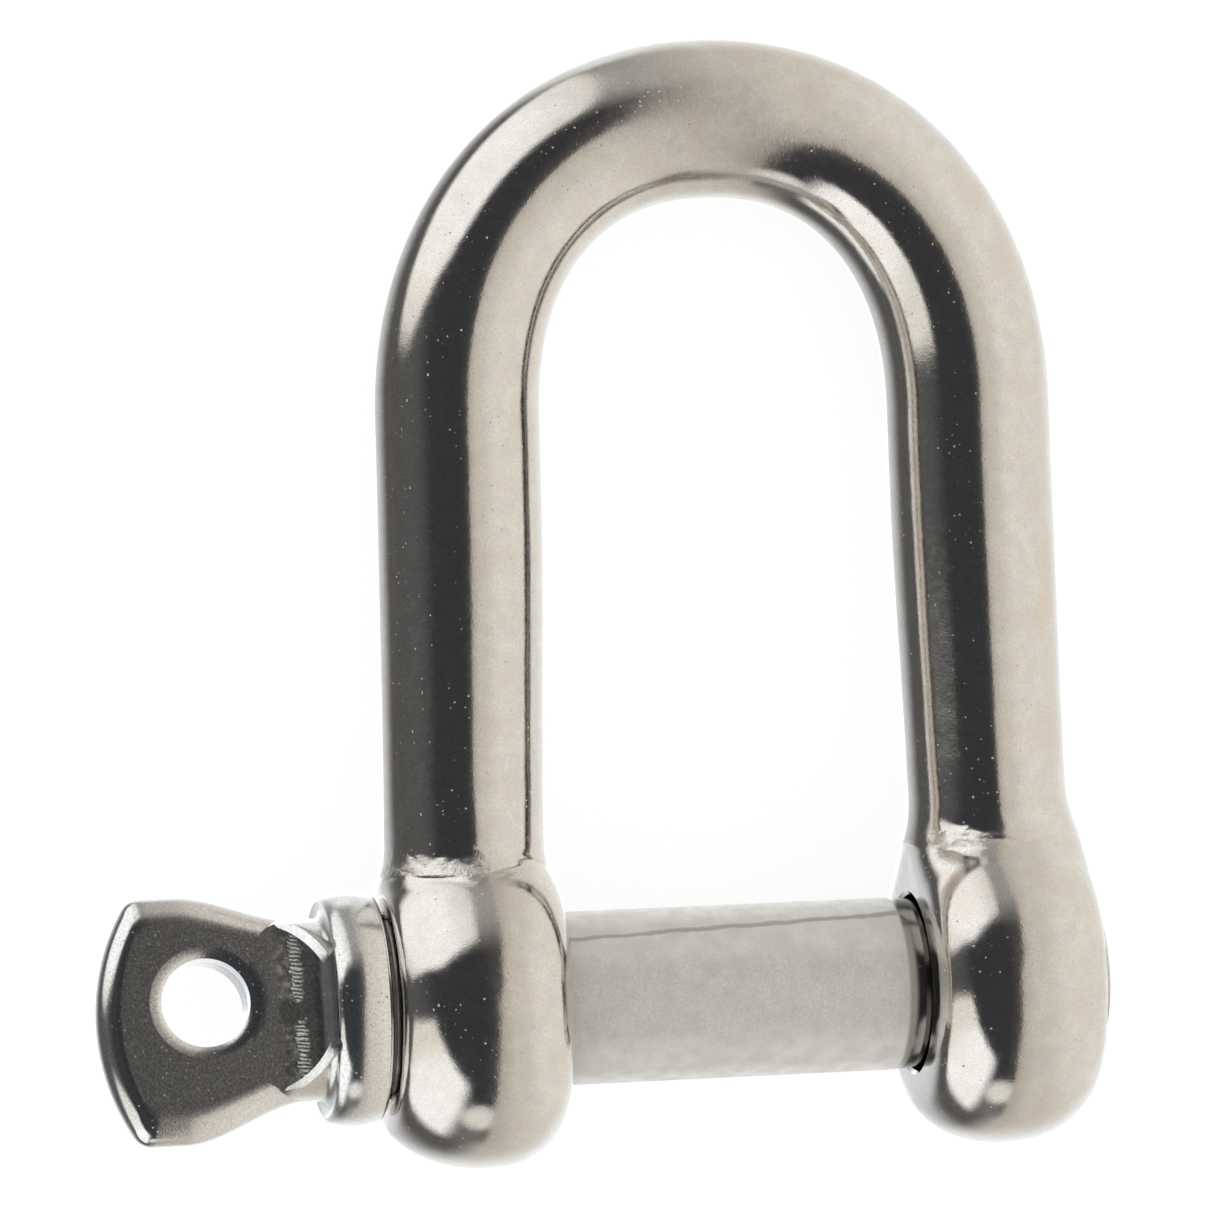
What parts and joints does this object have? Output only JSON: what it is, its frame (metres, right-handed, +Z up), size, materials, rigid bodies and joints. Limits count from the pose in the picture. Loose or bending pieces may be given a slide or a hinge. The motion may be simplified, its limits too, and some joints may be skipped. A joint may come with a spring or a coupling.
{
  "type": "screw pin shackle",
  "caption": "D shackle with round eyes and a screw pin that has a flattened head with a hole, for joining chain.",
  "frame": {"origin": "centre of the footprint, on the surface that the shackle lies on", "axes": "+X along the pin from its flattened head to the tapped eye, +Y from the pin to the crown of the bow, +Z up out of the dee"},
  "size_m": [0.0586, 0.0644, 0.0191],
  "materials": {
    "polished_steel": "mirror polished stainless steel with a faint ripple",
    "satin_steel": "satin stainless steel"
  },
  "bodies": {
    "body": {"shackle_body": "polished_steel"},
    "pin": {"screw_pin": "satin_steel"}
  },
  "joints": [
    {"name": "pin_withdraw", "type": "slide", "parent": "body", "child": "pin", "axis": [-1, 0, 0], "range_m": [0, 0.045]}
  ]
}
